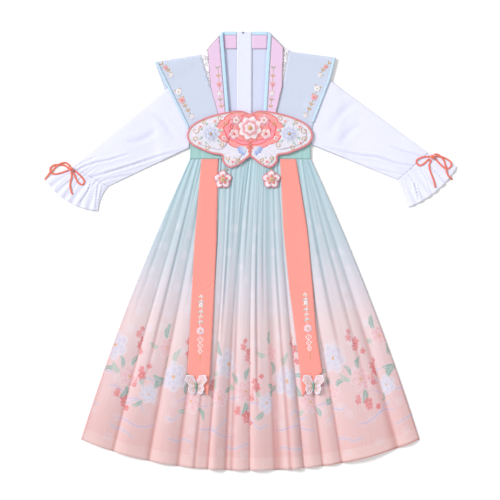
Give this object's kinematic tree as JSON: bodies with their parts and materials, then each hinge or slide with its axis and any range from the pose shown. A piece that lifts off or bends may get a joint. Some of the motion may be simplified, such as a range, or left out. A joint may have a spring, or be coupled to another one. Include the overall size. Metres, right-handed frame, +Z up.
{
  "type": "child's one-piece hanfu dress laid flat",
  "caption": "Child's hanfu dress laid flat: sheer flared vest, tied sleeves, butterfly ornament, pleated ombre skirt and hanging bands.",
  "frame": {"origin": "on the surface that the dress lies on, in the middle of its outline, on the underside of the skirt's back", "axes": "+X to the right of the dress as seen from above, +Y to the neck, +Z up from the surface"},
  "size_m": [0.9909, 1.0512, 0.0189],
  "materials": {
    "blouse_voile": "matt white-lavender voile",
    "vest_organza": "sheer pale blue organza",
    "binding_satin": "light blue satin",
    "collar_satin": "pink satin with embroidery",
    "lace": "white lace",
    "waistband_satin": "mint satin",
    "skirt_chiffon": "sheer chiffon, aqua at the waist to peach at the hem, printed",
    "skirt_lining": "matt lining, aqua to peach",
    "streamer_satin": "coral satin with embroidery",
    "ornament_embroidery": "dense coral-pink embroidery",
    "ornament_fields": "lilac-white embroidery and gauze",
    "blossom_satin": "pink-white padded satin",
    "gold_thread": "metallic gold thread and beads",
    "cord": "flat coral drawstring",
    "hook_metal": "dark satin metal"
  },
  "bodies": {
    "root": {"vest_back": "vest_organza", "vest_front_left": "vest_organza", "vest_front_right": "vest_organza", "vest_binding_left": "binding_satin", "vest_binding_right": "binding_satin", "blouse_back": "blouse_voile", "blouse_front_left": "blouse_voile", "blouse_front_right": "blouse_voile", "back_placket": "blouse_voile", "neck_hook": "hook_metal", "sleeve_left": "blouse_voile", "sleeve_right": "blouse_voile", "cuff_left": "blouse_voile", "cuff_right": "blouse_voile", "collar_back_left": "collar_satin", "collar_back_right": "collar_satin", "collar_left": "collar_satin", "collar_right": "collar_satin", "collar_back_piping_left": "binding_satin", "collar_back_piping_right": "binding_satin", "collar_piping_left": "binding_satin", "collar_piping_right": "binding_satin", "lace_left": "lace", "lace_right": "lace", "waistband_back": "waistband_satin", "waistband_front": "waistband_satin", "skirt_back": "skirt_chiffon", "skirt_front": "skirt_chiffon", "skirt_lining": "skirt_lining", "streamer_left": "streamer_satin", "streamer_right": "streamer_satin", "butterfly_ornament": "ornament_embroidery", "ornament_field_upper_left": "ornament_fields", "ornament_field_upper_right": "ornament_fields", "ornament_field_lower_left": "ornament_fields", "ornament_field_lower_right": "ornament_fields", "ornament_blossom": "blossom_satin", "flower_pendant_left": "blossom_satin", "flower_pendant_right": "blossom_satin", "pendant_link_left": "gold_thread", "pendant_link_right": "gold_thread", "streamer_butterfly_left": "ornament_fields", "streamer_butterfly_right": "ornament_fields", "streamer_butterfly_body_left": "gold_thread", "streamer_butterfly_body_right": "gold_thread", "bow_knot_left": "cord", "bow_knot_right": "cord", "bow_loop_outer_left": "cord", "bow_loop_inner_left": "cord", "bow_tail_outer_left": "cord", "bow_tail_inner_left": "cord", "bow_loop_outer_right": "cord", "bow_loop_inner_right": "cord", "bow_tail_outer_right": "cord", "bow_tail_inner_right": "cord"}
  },
  "joints": []
}
